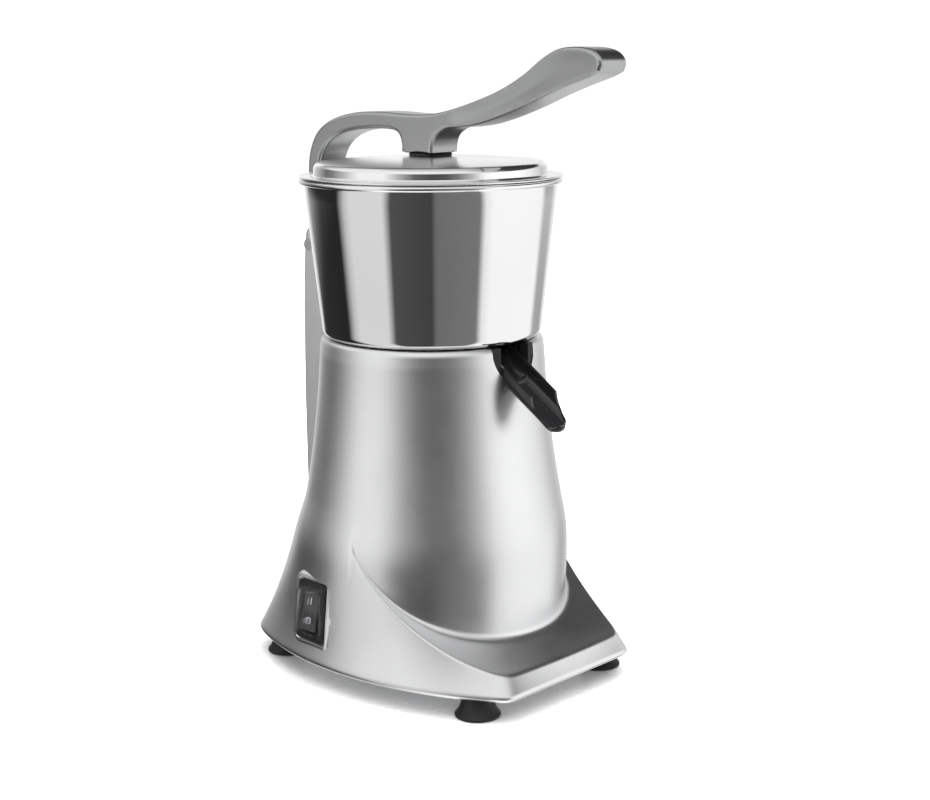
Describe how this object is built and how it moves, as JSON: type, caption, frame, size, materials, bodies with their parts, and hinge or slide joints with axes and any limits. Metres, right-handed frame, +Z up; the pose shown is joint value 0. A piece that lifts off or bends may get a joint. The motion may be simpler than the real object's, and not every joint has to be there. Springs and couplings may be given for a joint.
{
  "type": "citrus press juicer",
  "caption": "Counter-top electric citrus press with a satin cast body, polished bowl and lid, long pull-down lever, black spout and a rocker switch",
  "frame": {"origin": "Middle of the closed part's outline on the surface that it stands on, under its feet.", "axes": "+Z is up. The spout and the lever's tip point to -Y, the hinge column is at +Y, and the switch is on the -X side."},
  "size_m": [0.1846, 0.2422, 0.38],
  "materials": {
    "cast_satin": "satin-painted or bead-blasted die casting",
    "lever_satin": "satin die casting",
    "polished_steel": "mirror-polished stainless steel",
    "plain_steel": "turned or rolled steel",
    "sheet_steel": "zinc-plated sheet",
    "bronze": "sintered bronze",
    "brass_part": "turned brass",
    "laminations": "stacked laminations",
    "copper_wire": "enamelled winding",
    "motor_cast": "raw die casting",
    "black_gloss": "glossy black moulding",
    "black_matt": "matt black moulding",
    "rubber_black": "black rubber",
    "clear_boot": "clear soft cover",
    "white_plastic": "white moulding",
    "reamer_plastic": "food-safe moulding"
  },
  "bodies": {
    "base": {"body_shell": "cast_satin", "rear_column": "cast_satin", "column_screws": "plain_steel", "base_plate": "sheet_steel", "base_plate_screws": "plain_steel", "feet": "rubber_black", "foot_screws": "plain_steel", "switch_bezel": "black_matt", "switch_housing": "black_matt", "switch_terminals": "brass_part", "switch_boot": "clear_boot", "motor_top_bell": "motor_cast", "motor_bottom_bell": "motor_cast", "motor_bolts": "plain_steel", "motor_mount_screws": "plain_steel", "stator_core": "laminations", "stator_windings": "copper_wire", "upper_bearing": "plain_steel", "lower_bearing": "plain_steel", "run_capacitor": "white_plastic", "capacitor_clip": "sheet_steel", "terminal_block": "white_plastic", "earth_stud": "brass_part", "cable_gland": "black_matt", "gland_nut": "black_matt", "collector_tray": "black_gloss", "tray_seal": "rubber_black", "spout": "black_gloss", "spout_collar": "black_matt", "bowl": "polished_steel", "strainer": "plain_steel", "hinge_pin": "plain_steel", "pin_set_screw": "plain_steel"},
    "lever": {"lever_arm": "lever_satin", "lever_bushes": "bronze", "lid": "polished_steel", "lid_washer": "rubber_black", "press_cup": "motor_cast", "cup_bolt": "plain_steel"},
    "drive": {"drive_shaft": "plain_steel", "rotor_core": "laminations", "cooling_fan": "black_matt", "slinger": "rubber_black", "drive_pin": "plain_steel", "reamer": "reamer_plastic"},
    "rocker": {"switch_rocker": "black_gloss"}
  },
  "joints": [
    {"name": "lever_hinge", "type": "hinge", "parent": "base", "child": "lever", "pos_m": [0.00217, 0.10938, 0.258], "axis": [-1, 0, 0], "range_deg": [0, 70]},
    {"name": "drive_spin", "type": "hinge", "parent": "base", "child": "drive", "pos_m": [0.00217, 0.01788, 0.2], "axis": [0, 0, 1], "continuous": true},
    {"name": "rocker_tilt", "type": "hinge", "parent": "base", "child": "rocker", "pos_m": [-0.08244, 0.03876, 0.04585], "axis": [-0.0872, -0.9962, 0], "range_deg": [0, 14]}
  ]
}
